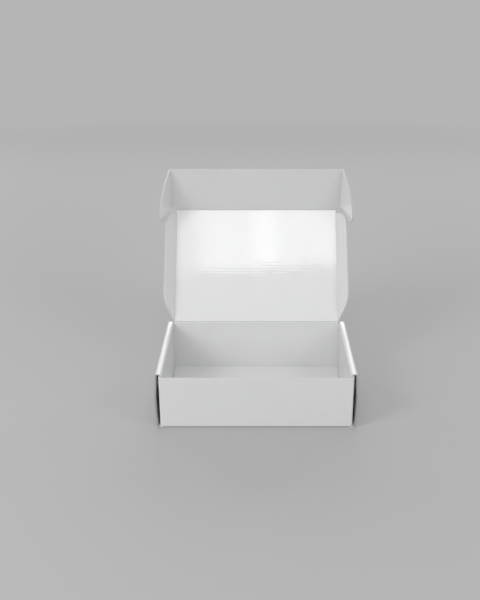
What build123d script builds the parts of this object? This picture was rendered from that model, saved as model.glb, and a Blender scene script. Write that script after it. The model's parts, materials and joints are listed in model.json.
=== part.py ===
"""Die-cut mailer box of fluted board: a tray with rolled double side walls and a lid with five flaps.

Millimetres, +Z up, front towards -Y. The origin is the centre of the tray's underside.
The lid, its side flaps, its front flap and the two ears are drawn half open, as the box stands when unpacked.
"""

import os
from math import cos, radians, sin, tan

from build123d import *

# Board and tray
board = 1.6  # thickness of the fluted board
rim_width = 221.0  # across the outer side walls at the rim
tray_depth = 147.0  # front face to back face
rim_height = 64.0  # underside to the top of the rolled rims
front_wall_height = 61.4
fold_radius = 1.4  # of a fold, along the middle of the board

# Rolled double side walls
side_lean = 4.0  # degrees by which the bowed outer wall leaves its folds
ear_slit = 2.1  # free width behind each outer wall, for an ear
layer_gap = 0.15  # between boards that lie on each other
corner_flap_length = 46.0
rim_setback = 4.5  # of the rolled wall's front end by the rim, where an ear goes in
rim_setback_height = 10.0
rim_setback_slope = 12.0  # height over which the front end slopes out again
tab_length = 30.0  # locking tabs under the inner walls
tab_spacing = 76.0
slot_clearance = 0.3  # around a tab in its base slot

# Lid and its flaps
hinge_drop = 0.6  # lid crease below the top of the rims
lid_clearance = 1.45  # lid's side creases from the inner walls
lid_standoff = 2.6  # front crease in front of the tray when shut
lid_lean = radians(37.0)  # of the open lid, back from upright
side_flap_width = 21.5
side_flap_fold = radians(56.0)  # up from the lid's plane
side_flap_root_inset = 0.4  # root's start from the hinge crease
side_flap_hinge_angle = radians(47.0)  # slant of the end by the hinge
side_flap_hinge_radius = 30.0
side_flap_front_inset = 4.3  # root's end from the front crease
side_flap_front_angle = radians(15.0)  # slant of the end by the ear
side_flap_front_radius = 20.0
front_flap_length = 61.8
front_flap_fold = radians(56.0)
ear_fold = radians(68.0)
ear_width = 35.0
ear_end = 1.5  # ear's lower edge from the lid's front crease
ear_shoulder = 12.0  # height of the ear's widest line
ear_bulge = 6.2  # of the ear's long curved edge past its chord
ear_tip_run = 10.0  # of the rounded tip along the lower edge
ear_relief = 8.0  # lift of the ear's root, clear of the rolled wall's end
ear_relief_width = 12.0
ear_relief_slope_width = 12.0

# Creases
crease_clearance = 0.15  # between a round fold and its seat
crease_limit = radians(104.0)  # greatest fold of a flap, from flat

# Derived places
wall_chord = rim_height - board - 2 * fold_radius * (1 - sin(radians(side_lean)))
outer_wall_x = rim_width / 2 - board / 2
corner_x = rim_width / 2 - board - ear_slit
inner_wall_x = corner_x - board - layer_gap - board / 2
ear_crease_x = corner_x + ear_slit / 2
flap_crease_x = inner_wall_x - board / 2 - lid_clearance
lid_crease_width = 2 * flap_crease_x
wall_y = tray_depth / 2 - board / 2
hinge_z = rim_height - hinge_drop
lid_length = wall_y + tray_depth / 2 + lid_standoff
seat_radius = board / 2 + crease_clearance

lid_plane = Plane((0, wall_y, hinge_z), x_dir=(1, 0, 0), z_dir=(0, -cos(lid_lean), sin(lid_lean)))
front_lean = lid_lean - front_flap_fold
front_flap_plane = Plane(
    lid_plane.from_local_coords((0, lid_length, 0)),
    x_dir=(1, 0, 0),
    z_dir=(0, -cos(front_lean), sin(front_lean)),
)


def right_fold(panel, crease_x, fold):
    """Plane of a flap on a panel's right edge: x along the crease, y outwards, z to the flap's outer face."""
    return Plane(
        panel.from_local_coords((crease_x, 0, 0)),
        x_dir=panel.y_dir,
        z_dir=panel.x_dir * sin(fold) - panel.z_dir * cos(fold),
    )


side_flap_plane = right_fold(lid_plane, flap_crease_x, side_flap_fold)
ear_plane = right_fold(front_flap_plane, ear_crease_x, ear_fold)


def crease_section(panel, start):
    """Cross-section plane of a crease on a panel's local X axis: x into the panel, y to its local +Z side."""
    return Plane(panel.from_local_coords((start, 0, 0)), x_dir=panel.y_dir, z_dir=panel.x_dir)


def round_fold(panel, start, end):
    """Rounds a panel's edge about the crease that a flap turns on."""
    with BuildSketch(crease_section(panel, start)) as fold:
        Circle(board / 2)
    extrude(fold.sketch, amount=end - start)


def fold_seat(panel, start, end, sides):
    """Cuts a flap's edge to a seat round the fold, bevelled on each side that the flap turns to."""
    past_square = crease_limit - radians(90)
    bevel_root = seat_radius / cos(past_square)
    bevel_end = bevel_root + board * tan(past_square)
    with BuildSketch(crease_section(panel, start)) as seat:
        Circle(seat_radius)
        for side in sides:
            with BuildLine():
                Polyline((0, 0), (bevel_root, 0), (bevel_end, side * board), (0, side * board), close=True)
            make_face()
    extrude(seat.sketch, amount=end - start, mode=Mode.SUBTRACT)


# Tray: one folded sheet
with BuildPart() as tray:
    # Base panel
    with BuildSketch():
        Rectangle(2 * (outer_wall_x - 2 * fold_radius), tray_depth - 2 * (board / 2 + fold_radius))
    extrude(amount=board)

    # Rolled side wall: base edge, bowed outer wall, rim strip and inner wall in one run
    with BuildSketch(Plane.XZ.offset(-tray_depth / 2)):
        with BuildLine():
            foot_start = (outer_wall_x - fold_radius * cos(radians(side_lean)), board / 2)
            base_edge = Line((inner_wall_x, board / 2), foot_start)
            foot = JernArc(base_edge @ 1, (1, 0), fold_radius, 90 - side_lean)
            wall_radius = wall_chord / (2 * sin(radians(side_lean)))
            outer_wall = JernArc(foot @ 1, foot % 1, wall_radius, 2 * side_lean)
            outer_bend = JernArc(outer_wall @ 1, outer_wall % 1, fold_radius, 90 - side_lean)
            strip = Line(outer_bend @ 1, (inner_wall_x + fold_radius, rim_height - board / 2))
            inner_bend = JernArc(strip @ 1, (-1, 0), fold_radius, 90)
            Line(inner_bend @ 1, (inner_wall_x, board + layer_gap))
        trace(line_width=board)
    extrude(amount=tray_depth)

    # Inner wall stops short of the front and back walls
    inner_wall_length = tray_depth - 2 * (board + layer_gap)
    end_cut_top = rim_height - board
    for end in (-1, 1):
        with BuildSketch(Plane.XY.offset(board)):
            with Locations((inner_wall_x, end * (inner_wall_length / 2 + board))):
                Rectangle(2 * board, 2 * board)
        extrude(amount=end_cut_top - board, mode=Mode.SUBTRACT)

    # Rolled wall's front end stands back by the rim
    front_y = -tray_depth / 2
    setback_foot = rim_height - rim_setback_height
    with BuildSketch(Plane.YZ.offset(inner_wall_x - 2 * board)):
        with BuildLine():
            Polyline(
                (front_y, setback_foot - rim_setback_slope),
                (front_y + rim_setback, setback_foot),
                (front_y + rim_setback, rim_height + board),
                (front_y, rim_height + board),
                close=True,
            )
        make_face()
    extrude(amount=rim_width, mode=Mode.SUBTRACT)

    # Tabs of the inner wall stand in slots through the base
    for tab_y in (-tab_spacing / 2, tab_spacing / 2):
        with BuildSketch():
            with Locations((inner_wall_x, tab_y)):
                Rectangle(board + 2 * slot_clearance, tab_length + 2 * slot_clearance)
        extrude(amount=board, mode=Mode.SUBTRACT)
        with BuildSketch(Plane.XY.offset(layer_gap)):
            with Locations((inner_wall_x, tab_y)):
                Rectangle(board, tab_length)
        extrude(amount=2 * board)

    # Left half mirrors the right
    split(bisect_by=Plane.YZ, keep=Keep.TOP)
    mirror(about=Plane.YZ)

    # Front and back walls, folded up from the base
    fold_reach = tray_depth / 2 - board / 2 - fold_radius
    for facing in (-1, 1):
        with BuildSketch(Plane.YZ.offset(-corner_x + fold_radius + board / 2)):
            with BuildLine():
                base_end = Line((facing * (fold_reach - board), board / 2), (facing * fold_reach, board / 2))
                wall_bend = JernArc(base_end @ 1, (facing, 0), fold_radius, facing * 90)
                Line(wall_bend @ 1, (facing * wall_y, front_wall_height))
            trace(line_width=board)
        extrude(amount=2 * (corner_x - fold_radius - board / 2))

        # Corner flaps, folded in between the side walls
        flap_foot = board / 2 + fold_radius
        for hand in (-1, 1):
            with BuildSketch(Plane.XY.offset(flap_foot)):
                with BuildLine():
                    bend_start = (hand * (corner_x - board / 2 - fold_radius), facing * wall_y)
                    flap_end = (hand * (corner_x - board / 2), facing * (wall_y - corner_flap_length))
                    flap_bend = JernArc(bend_start, (hand, 0), fold_radius, -hand * facing * 90)
                    Line(flap_bend @ 1, flap_end)
                trace(line_width=board)
            extrude(amount=front_wall_height - flap_foot)

    # Back wall's middle reaches up to the lid's crease
    with BuildSketch(Plane.XY.offset(front_wall_height)):
        with Locations((0, wall_y)):
            Rectangle(lid_crease_width, board)
    extrude(amount=hinge_z - front_wall_height)
    round_fold(Plane((0, wall_y, hinge_z)), -flap_crease_x, flap_crease_x)
tray.part.label = "tray"

# Lid panel, between the back wall's crease and the front crease
with BuildPart() as lid_panel:
    with BuildSketch(lid_plane):
        with Locations((0, lid_length / 2)):
            Rectangle(lid_crease_width, lid_length)
    extrude(amount=board / 2, both=True)
    round_fold(front_flap_plane, -flap_crease_x, flap_crease_x)
    for crease_x in (-flap_crease_x, flap_crease_x):
        round_fold(right_fold(lid_plane, crease_x, 0), 0, lid_length)
        with Locations(lid_plane.from_local_coords((crease_x, lid_length, 0))):
            Sphere(board / 2)
    fold_seat(lid_plane, -flap_crease_x - board, flap_crease_x + board, sides=(-1, 1))
lid_panel.part.label = "lid_panel"

# Right side flap, slanted at both ends
with BuildPart() as right_side_flap:
    with BuildSketch(side_flap_plane):
        hinge_run = side_flap_width * tan(side_flap_hinge_angle)
        front_run = side_flap_width * tan(side_flap_front_angle)
        root_end = lid_length - side_flap_front_inset
        with BuildLine():
            Polyline(
                (side_flap_root_inset, 0),
                (side_flap_root_inset + hinge_run, side_flap_width),
                (root_end - front_run, side_flap_width),
                (root_end, 0),
                close=True,
            )
        make_face()
        fillet(vertices().group_by(Axis.Y)[-1].sort_by(Axis.X)[0], side_flap_hinge_radius)
        fillet(vertices().group_by(Axis.Y)[-1].sort_by(Axis.X)[-1], side_flap_front_radius)
    extrude(amount=board / 2, both=True)
    fold_seat(side_flap_plane, 0, lid_length, sides=(-1,))
right_side_flap.part.label = "right_side_flap"

with BuildPart() as left_side_flap:
    mirror(right_side_flap.part, about=Plane.YZ)
left_side_flap.part.label = "left_side_flap"

# Front flap, with a round fold for each ear
with BuildPart() as front_flap:
    with BuildSketch(front_flap_plane):
        with Locations((0, front_flap_length / 2)):
            Rectangle(2 * ear_crease_x, front_flap_length)
    extrude(amount=board / 2, both=True)
    for crease_x in (-ear_crease_x, ear_crease_x):
        round_fold(right_fold(front_flap_plane, crease_x, 0), 0, front_flap_length)
    fold_seat(front_flap_plane, -ear_crease_x - board, ear_crease_x + board, sides=(1,))
front_flap.part.label = "front_flap"

# Right ear: long curved edge, rounded tip and a lifted root
with BuildPart() as right_ear:
    with BuildSketch(ear_plane):
        with BuildLine():
            long_edge = SagittaArc((front_flap_length, 0), (ear_shoulder, ear_width), -ear_bulge)
            lower_start = (ear_end, ear_width - ear_tip_run)
            TangentArc(long_edge @ 1, lower_start, tangent=long_edge % 1)
            Polyline(
                lower_start,
                (ear_end, ear_relief_width + ear_relief_slope_width),
                (ear_relief, ear_relief_width),
                (ear_relief, 0),
                (front_flap_length, 0),
            )
        make_face()
    extrude(amount=board / 2, both=True)
    fold_seat(ear_plane, 0, front_flap_length, sides=(-1,))
right_ear.part.label = "right_ear"

with BuildPart() as left_ear:
    mirror(right_ear.part, about=Plane.YZ)
left_ear.part.label = "left_ear"

os.makedirs("parts", exist_ok=True)
export_step(tray.part, "parts/tray.step")
export_step(lid_panel.part, "parts/lid_panel.step")
export_step(left_side_flap.part, "parts/left_side_flap.step")
export_step(right_side_flap.part, "parts/right_side_flap.step")
export_step(front_flap.part, "parts/front_flap.step")
export_step(left_ear.part, "parts/left_ear.step")
export_step(right_ear.part, "parts/right_ear.step")
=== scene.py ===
"""White die-cut mailer box of fluted board, lid open, on a pale studio floor."""

import json
import math

import bpy
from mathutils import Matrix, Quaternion, Vector


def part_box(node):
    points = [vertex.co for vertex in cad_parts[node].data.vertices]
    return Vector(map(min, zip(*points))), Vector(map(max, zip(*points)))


# Board and tray, in metres
BOARD = 0.0016
FLUTE_PITCH = 0.0039
CREASE_REACH = 0.0020  # faces this near to a crease belong to the fold
FRONT_WALL_TOP = 0.0614
TOP_MARGIN = 0.0002  # faces this near to the front wall's top belong to it
CORNER_INSET = 0.0047  # of the front wall's ends from the tray's widest place

# Material slots of the board
COATED, CUT, ROLLED_END = range(3)

# Least cosines at which a face counts as facing a direction
FACING = 0.5
FACING_WALL = 0.7
FACING_UP = 0.9

# Colours, linear
WHITE_COAT = (0.80, 0.80, 0.80)
WHITE_COAT_SHADE = (0.765, 0.768, 0.772)
# Core of the cut edges: the raw paper painted lighter for the light that the cut edges catch, and
# painted shade in the flute hollows, painted lighter too
RAW_PAPER_PAINTED_LIGHTER = (0.78, 0.765, 0.735)
RAW_SHADOW = (0.52, 0.50, 0.46)
END_PAPER = (0.47, 0.45, 0.415)
END_SHADOW = (0.28, 0.265, 0.24)
FLOOR_PALE = (0.46, 0.46, 0.465)  # of the backdrop too
WORLD_PALE = (0.985, 0.99, 1.0)
WORLD_STRENGTH = 0.56

# Gloss coating: sizes across and heights in metres
COAT_ROUGHNESS = 0.025
PAPER_ROUGHNESS = (0.30, 0.42)  # of the white paper under the coat
PAPER_PATCH = 0.012
PAPER_PATCH_RANGE = (0.3, 0.7)  # of the noise, over which the roughness changes
BLOTCH = 0.035
RIPPLE_HEIGHT = 8.0e-6  # of the flutes that show through
RIPPLE_PATCH = 0.016
RIPPLE_PATCH_STRETCH = (0.7, 1.6, 1.6)
RIPPLE_PATCH_RANGE = (0.36, 0.64)
RIPPLE_LEAST = 0.15  # share of the ripple between its patches
WARP = 0.05
WARP_HEIGHT = 6.0e-5
FIBRE = 0.0006
FIBRE_HEIGHT = 1.2e-6

# Cut edges, in metres
FLUTE_HEIGHT = 0.00036  # of the wavy layer, from the board's middle
MEDIUM_HALF = 0.00011  # half the thickness of the wavy layer
LINER_INSIDE = 0.00046  # inner face of a liner, pinched by the cut, from the board's middle
LINER_BLEND = 0.00004  # soft step at that face
VOID_DEPTH = 6.0e-5  # of the hollows beside the wavy layer
RAW_ROUGHNESS = 0.85
CUT_FIBRE = 0.0005
CUT_FIBRE_HEIGHT = 4.0e-5

# Ends of the rolled walls, in metres
END_STREAK = 0.0012
END_STREAK_STRETCH = (3, 1, 0.2)
END_STREAK_HEIGHT = 6.0e-5

# Camera, from the photograph's perspective, in its 480 by 600 frame
FRAME_HEIGHT_PX = 600
FOCAL_PX = 829.3
CENTRE_OFFSET_PX = 16.3  # of the box's middle to the right of the frame's
CAMERA_AHEAD = 0.8014  # of the tray's front
CAMERA_HEIGHT = 0.4806
CAMERA_PITCH = math.radians(22.22)
SENSOR = 36.0  # width in millimetres

# Floor, in metres
FLOOR_SIZE = 60
FLOOR_ROUGHNESS = 0.6
FLOOR_FADE = (0.45, 1.9)  # distances over which the floor turns into the backdrop

# Softboxes round the box: name, place, width, height and power in watts
SOFTBOX_TARGET = (0, 0, 0.1)
SOFTBOX_FADE = 0.3  # soft stretch at each end of the width
SOFTBOXES = (
    ("softbox_left", (-1.0, -0.75, 0.9), 0.7, 0.7, 5.8),
    ("softbox_right", (1.0, -0.75, 0.9), 0.7, 0.7, 2.8),
    ("softbox_back", (0.02, 1.4, 0.8), 1.0, 0.6, 3.3),
    ("fill_back_left", (-1.1, 1.3, 0.45), 0.7, 0.7, 3.0),
    ("fill_back_right", (1.1, 1.3, 0.45), 0.7, 0.7, 3.0),
    ("fill_front", (-0.5, -1.6, 0.5), 0.9, 0.6, 2.4),
)

# Strip lights that the lid mirrors: name, middle in x, width, power and soft stretch at each end
STRIPS = (
    ("strip_wide", 0.0, 0.70, 0.71, 0.06),
    ("strip_right", 0.068, 0.524, 0.76, 0.06),
    ("strip_core", 0.024, 0.096, 0.07, 0.028),
)
STRIP_PLACE = (-0.5656, 1.2439)  # in y and z
STRIP_TARGET = (-0.048, 0.052)  # in y and z
STRIP_DEPTH = 0.22
STRIP_STEP = 0.005  # of each strip below the one before
STRIP_ROLL = math.radians(3.5)


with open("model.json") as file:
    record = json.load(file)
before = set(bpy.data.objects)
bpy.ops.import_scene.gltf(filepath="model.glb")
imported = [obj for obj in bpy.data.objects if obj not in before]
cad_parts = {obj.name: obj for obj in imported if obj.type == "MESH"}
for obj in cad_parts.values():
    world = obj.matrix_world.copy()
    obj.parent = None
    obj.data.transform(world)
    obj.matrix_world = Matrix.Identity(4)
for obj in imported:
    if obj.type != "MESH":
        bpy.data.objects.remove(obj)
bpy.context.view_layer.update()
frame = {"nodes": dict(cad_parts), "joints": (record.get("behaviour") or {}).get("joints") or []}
parts = frame["nodes"]
joints = {joint["name"]: joint for joint in frame["joints"]}
tray_low, tray_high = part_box("tray")


class NodeTree:
    """The shader nodes of a material, a lamp or the world, with short calls to make them."""

    def __init__(self, owner):
        owner.use_nodes = True
        self.tree = owner.node_tree
        self.tree.nodes.clear()

    def node(self, kind, **settings):
        made = self.tree.nodes.new(kind)
        for key, value in settings.items():
            setattr(made, key, value)
        return made

    def link(self, output, socket):
        self.tree.links.new(output, socket)

    def feed(self, socket, value):
        """Links a socket to an output, or sets it to a plain value."""
        if isinstance(value, bpy.types.NodeSocket):
            self.link(value, socket)
        else:
            socket.default_value = value

    def math(self, operation, a, b=0.0, c=0.0):
        made = self.node("ShaderNodeMath", operation=operation)
        for socket, value in zip(made.inputs, (a, b, c)):
            self.feed(socket, value)
        return made.outputs[0]

    def ramp(self, value, low, high, out_low=0.0, out_high=1.0):
        """Maps low to out_low and high to out_high, held past both ends."""
        made = self.node("ShaderNodeMapRange")
        for socket, number in zip(made.inputs, (value, low, high, out_low, out_high)):
            self.feed(socket, number)
        return made.outputs[0]

    def seen(self):
        """1 for the rays that show a backdrop: from the camera, mirrored or through glass."""
        path = self.node("ShaderNodeLightPath").outputs
        mirrored = self.math("MAXIMUM", path["Is Glossy Ray"], path["Is Transmission Ray"])
        return self.math("MAXIMUM", path["Is Camera Ray"], mirrored)

    def mix_shaders(self, share, a, b):
        made = self.node("ShaderNodeMixShader")
        for socket, output in zip(made.inputs, (share, a, b)):
            self.link(output, socket)
        return made.outputs[0]


class Shader(NodeTree):
    """A material with one principled surface."""

    def __init__(self, name):
        self.material = bpy.data.materials.new(name)
        super().__init__(self.material)
        self.surface = self.node("ShaderNodeBsdfPrincipled")
        self.output = self.node("ShaderNodeOutputMaterial")
        self.link(self.surface.outputs["BSDF"], self.output.inputs["Surface"])
        self.place = self.node("ShaderNodeTexCoord").outputs["Object"]

    def give(self, socket, value):
        """Links or sets a socket of the surface."""
        self.feed(self.surface.inputs[socket], value)

    def along(self, direction, start=(0, 0, 0)):
        """Distance of a surface point from start, measured along a direction."""
        moved = self.node("ShaderNodeVectorMath", operation="SUBTRACT")
        self.link(self.place, moved.inputs[0])
        moved.inputs[1].default_value = start
        dot = self.node("ShaderNodeVectorMath", operation="DOT_PRODUCT")
        self.link(moved.outputs[0], dot.inputs[0])
        dot.inputs[1].default_value = direction
        return dot.outputs["Value"]

    def noise(self, size, detail=2.0, stretch=(1, 1, 1)):
        """Noise from 0 to 1, with features of about the given size in metres."""
        mapping = self.node("ShaderNodeMapping")
        self.link(self.place, mapping.inputs["Vector"])
        mapping.inputs["Scale"].default_value = stretch
        made = self.node("ShaderNodeTexNoise")
        self.link(mapping.outputs[0], made.inputs["Vector"])
        made.inputs["Scale"].default_value = 1.0 / size
        made.inputs["Detail"].default_value = detail
        return made.outputs["Fac"]

    def mix(self, share, a, b):
        """Mix of two colours, each a plain colour or an output."""
        made = self.node("ShaderNodeMix", data_type="RGBA")
        self.feed(made.inputs["Factor"], share)
        colour_sockets = [socket for socket in made.inputs if socket.type == "RGBA"]
        for socket, value in zip(colour_sockets, (a, b)):
            if not isinstance(value, bpy.types.NodeSocket):
                value = (*value, 1.0)
            self.feed(socket, value)
        return next(output for output in made.outputs if output.type == "RGBA")

    def bump(self, height):
        """Bump whose height is in metres."""
        made = self.node("ShaderNodeBump")
        made.inputs["Strength"].default_value = 1.0
        made.inputs["Distance"].default_value = 1.0
        self.link(height, made.inputs["Height"])
        return made.outputs["Normal"]


def flute_wave(shader, across):
    """Sine of the flutes, which lie square to the given distance."""
    return shader.math("SINE", shader.math("MULTIPLY", across, 2 * math.pi / FLUTE_PITCH))


def coated_face(name, across_of):
    """Gloss white coating, with the flutes showing faintly through the liner."""
    shader = Shader(name)
    shader.give("Base Color", shader.mix(shader.noise(BLOTCH), WHITE_COAT, WHITE_COAT_SHADE))
    paper_patch = shader.noise(PAPER_PATCH, detail=4.0)
    shader.give("Roughness", shader.ramp(paper_patch, *PAPER_PATCH_RANGE, *PAPER_ROUGHNESS))
    shader.give("Coat Weight", 1.0)
    shader.give("Coat Roughness", COAT_ROUGHNESS)

    ripple = shader.math("MULTIPLY", flute_wave(shader, across_of(shader)), RIPPLE_HEIGHT)
    ripple_patch = shader.noise(RIPPLE_PATCH, stretch=RIPPLE_PATCH_STRETCH)
    ripple_share = shader.ramp(ripple_patch, *RIPPLE_PATCH_RANGE, RIPPLE_LEAST, 1.0)
    warp = shader.math("MULTIPLY", shader.noise(WARP, detail=1.0), WARP_HEIGHT)
    swell = shader.math("ADD", shader.math("MULTIPLY", ripple, ripple_share), warp)
    fibre = shader.math("MULTIPLY", shader.noise(FIBRE, detail=3.0), FIBRE_HEIGHT)
    shader.give("Coat Normal", shader.bump(swell))
    shader.give("Normal", shader.bump(shader.math("ADD", swell, fibre)))
    return shader.material


def cut_edge(name, across_of, depth_of):
    """Die-cut edge: two white liners with the wavy layer between them, the wavy layer painted
    lighter for the light the edge catches, with painted shade in its hollows.
    """
    shader = Shader(name)
    depth = depth_of(shader)
    wave = shader.math("MULTIPLY", flute_wave(shader, across_of(shader)), FLUTE_HEIGHT)
    from_wave = shader.math("ABSOLUTE", shader.math("SUBTRACT", depth, wave))
    in_void = shader.ramp(from_wave, MEDIUM_HALF, 2 * MEDIUM_HALF)
    from_middle = shader.math("ABSOLUTE", depth)
    in_liner = shader.ramp(from_middle, LINER_INSIDE, LINER_INSIDE + LINER_BLEND)
    # painted light: the wavy layer's paper painted lighter where the cut edge catches the light,
    # and painted shade in its hollows
    core = shader.mix(in_void, RAW_PAPER_PAINTED_LIGHTER, RAW_SHADOW)
    shader.give("Base Color", shader.mix(in_liner, core, WHITE_COAT))
    shader.give("Roughness", RAW_ROUGHNESS)
    fibre = shader.math("MULTIPLY", shader.noise(CUT_FIBRE, detail=4.0), CUT_FIBRE_HEIGHT)
    hollow = shader.math("MULTIPLY", in_void, -VOID_DEPTH)
    shader.give("Normal", shader.bump(shader.math("ADD", fibre, hollow)))
    return shader.material


def raw_end(name):
    """Raw board at the ends of the rolled walls."""
    shader = Shader(name)
    streak = shader.noise(END_STREAK, detail=4.0, stretch=END_STREAK_STRETCH)
    shader.give("Base Color", shader.mix(streak, END_PAPER, END_SHADOW))
    shader.give("Roughness", RAW_ROUGHNESS)
    shader.give("Normal", shader.bump(shader.math("MULTIPLY", streak, END_STREAK_HEIGHT)))
    return shader.material


def crease(joint):
    """Point and direction of a joint's axis."""
    return Vector(joints[joint]["pos_m"]), Vector(joints[joint]["axis"]).normalized()


def dress_panel(name, normal, across, panel_joints):
    """Finish of a flat panel: coated faces, raw cut edges and coated folds along its joints."""
    creases = [crease(joint) for joint in panel_joints]
    start, _ = creases[0]

    def across_of(shader):
        return shader.along(across, start)

    def depth_of(shader):
        return shader.along(normal, start)

    mesh = parts[name].data
    mesh.materials.clear()
    mesh.materials.append(coated_face(name + "_coat", across_of))
    mesh.materials.append(cut_edge(name + "_cut", across_of, depth_of))
    for face in mesh.polygons:
        on_edge = abs(face.normal.dot(normal)) < FACING
        on_fold = any(
            (face.center - point).cross(direction).length < CREASE_REACH
            for point, direction in creases
        )
        face.material_index = CUT if on_edge and not on_fold else COATED


def dress_lid():
    """Finishes of the lid and its five flaps, each with its flutes in the sheet's own direction."""
    side = Vector((1, 0, 0))
    _, lid_along = crease("left_side_flap_crease")
    _, flap_along = crease("left_ear_crease")
    dress_panel(
        "lid_panel",
        side.cross(lid_along),
        lid_along,
        ("lid_hinge", "front_flap_crease", "left_side_flap_crease", "right_side_flap_crease"),
    )
    dress_panel(
        "front_flap",
        side.cross(flap_along),
        flap_along,
        ("front_flap_crease", "left_ear_crease", "right_ear_crease"),
    )
    for name, along in (
        ("left_side_flap", lid_along),
        ("right_side_flap", lid_along),
        ("left_ear", flap_along),
        ("right_ear", flap_along),
    ):
        largest = max(parts[name].data.polygons, key=lambda face: face.area)
        dress_panel(name, largest.normal.copy(), along, (name + "_crease",))


def dress_tray():
    """Finishes of the tray: coated walls and base, and the cut ends of its walls."""
    wall_middle = tray_high.y - BOARD / 2
    corner_x = tray_high.x - CORNER_INSET

    def across_of(shader):
        """Height on the front and back walls, and depth everywhere else."""
        split = shader.node("ShaderNodeSeparateXYZ")
        shader.link(shader.node("ShaderNodeNewGeometry").outputs["Normal"], split.inputs[0])
        facing = shader.math("ABSOLUTE", split.outputs["Y"])
        on_wall = shader.math("GREATER_THAN", facing, FACING_WALL)
        deep = shader.along((0, 1, 0))
        tall = shader.along((0, 0, 1))
        return shader.math("MULTIPLY_ADD", shader.math("SUBTRACT", tall, deep), on_wall, deep)

    def depth_of(shader):
        """Distance from the middle of the front or back wall."""
        from_centre = shader.math("ABSOLUTE", shader.along((0, 1, 0)))
        return shader.math("SUBTRACT", from_centre, wall_middle)

    mesh = parts["tray"].data
    mesh.materials.clear()
    mesh.materials.append(coated_face("tray_coat", across_of))
    mesh.materials.append(cut_edge("tray_cut", across_of, depth_of))
    mesh.materials.append(raw_end("tray_wall_end"))
    for face in mesh.polygons:
        on_top = abs(face.center.z - FRONT_WALL_TOP) < TOP_MARGIN
        past_corner = abs(face.center.x) > corner_x
        if on_top and face.normal.z > FACING_UP:
            face.material_index = CUT
        elif past_corner and abs(face.normal.y) > FACING:
            face.material_index = ROLLED_END
        else:
            face.material_index = COATED


def make_floor():
    """Pale floor that turns into the backdrop away from the box."""
    bpy.ops.mesh.primitive_plane_add(size=FLOOR_SIZE)
    floor = bpy.context.object
    floor.name = "floor"
    shader = Shader("floor_pale")
    shader.give("Base Color", (*FLOOR_PALE, 1))
    shader.give("Roughness", FLOOR_ROUGHNESS)
    glow = shader.node("ShaderNodeEmission")
    glow.inputs["Color"].default_value = (*FLOOR_PALE, 1)
    away = shader.node("ShaderNodeVectorMath", operation="LENGTH")
    shader.link(shader.place, away.inputs[0])
    share = shader.math("MULTIPLY", shader.ramp(away.outputs["Value"], *FLOOR_FADE), shader.seen())
    mixed = shader.mix_shaders(share, shader.surface.outputs["BSDF"], glow.outputs[0])
    shader.link(mixed, shader.output.inputs["Surface"])
    floor.data.materials.append(shader.material)


def fade_ends(light, length):
    """Lets a lamp fade over the given length at each end of its width."""
    glow = NodeTree(light)
    split = glow.node("ShaderNodeSeparateXYZ")
    glow.link(glow.node("ShaderNodeNewGeometry").outputs["Parametric"], split.inputs[0])
    half = 0.5  # of the width, which runs from 0 to 1
    from_middle = glow.math("ABSOLUTE", glow.math("SUBTRACT", split.outputs["X"], half))
    level = glow.ramp(from_middle, half - length / light.size, half, 1.0, 0.0)
    emission = glow.node("ShaderNodeEmission")
    glow.link(level, emission.inputs["Strength"])
    output = glow.node("ShaderNodeOutputLight")
    glow.link(emission.outputs[0], output.inputs["Surface"])


def make_lamp(name, place, target, width, height, watts, fade, roll=0.0):
    """Area lamp of the given power, with soft ends."""
    light = bpy.data.lights.new(name, "AREA")
    light.shape = "RECTANGLE"
    light.size = width
    light.size_y = height
    light.energy = watts * width / (width - fade)  # makes up for the soft ends
    fade_ends(light, fade)
    lamp = bpy.data.objects.new(name, light)
    bpy.context.scene.collection.objects.link(lamp)
    lamp.visible_camera = False
    lamp.location = place
    aim = (Vector(target) - Vector(place)).to_track_quat("-Z", "Y")
    lamp.rotation_euler = (aim @ Quaternion((0, 0, 1), roll)).to_euler()


def make_lamps():
    """Softboxes on all sides, and the strips over the front that the lid mirrors."""
    for name, place, width, height, watts in SOFTBOXES:
        make_lamp(name, place, SOFTBOX_TARGET, width, height, watts, SOFTBOX_FADE)
    strip_y, strip_z = STRIP_PLACE
    for layer, (name, middle, width, watts, fade) in enumerate(STRIPS):
        place = (middle, strip_y, strip_z - layer * STRIP_STEP)
        target = (middle, *STRIP_TARGET)
        make_lamp(name, place, target, width, STRIP_DEPTH, watts, fade, STRIP_ROLL)


def make_world():
    """Even surround that lights the box, with the plain backdrop where it shows."""
    world = bpy.data.worlds.new("surround")
    surround = NodeTree(world)
    shades = []
    for colour, strength in ((WORLD_PALE, WORLD_STRENGTH), (FLOOR_PALE, 1.0)):
        shade = surround.node("ShaderNodeBackground")
        shade.inputs["Color"].default_value = (*colour, 1)
        shade.inputs["Strength"].default_value = strength
        shades.append(shade.outputs[0])
    output = surround.node("ShaderNodeOutputWorld")
    surround.link(surround.mix_shaders(surround.seen(), *shades), output.inputs["Surface"])
    bpy.context.scene.world = world


def make_camera():
    """Camera at the photograph's place, square to the box's front."""
    lens = bpy.data.cameras.new("camera")
    lens.sensor_width = SENSOR
    lens.lens = FOCAL_PX * SENSOR / FRAME_HEIGHT_PX
    lens.shift_x = -CENTRE_OFFSET_PX / FRAME_HEIGHT_PX
    camera = bpy.data.objects.new("camera", lens)
    bpy.context.scene.collection.objects.link(camera)
    camera.location = (0, tray_low.y - CAMERA_AHEAD, tray_low.z + CAMERA_HEIGHT)
    camera.rotation_euler = (math.pi / 2 - CAMERA_PITCH, 0, 0)
    bpy.context.scene.camera = camera


dress_lid()
dress_tray()
make_floor()
make_lamps()
make_world()
make_camera()
bpy.context.scene.view_settings.view_transform = "Standard"
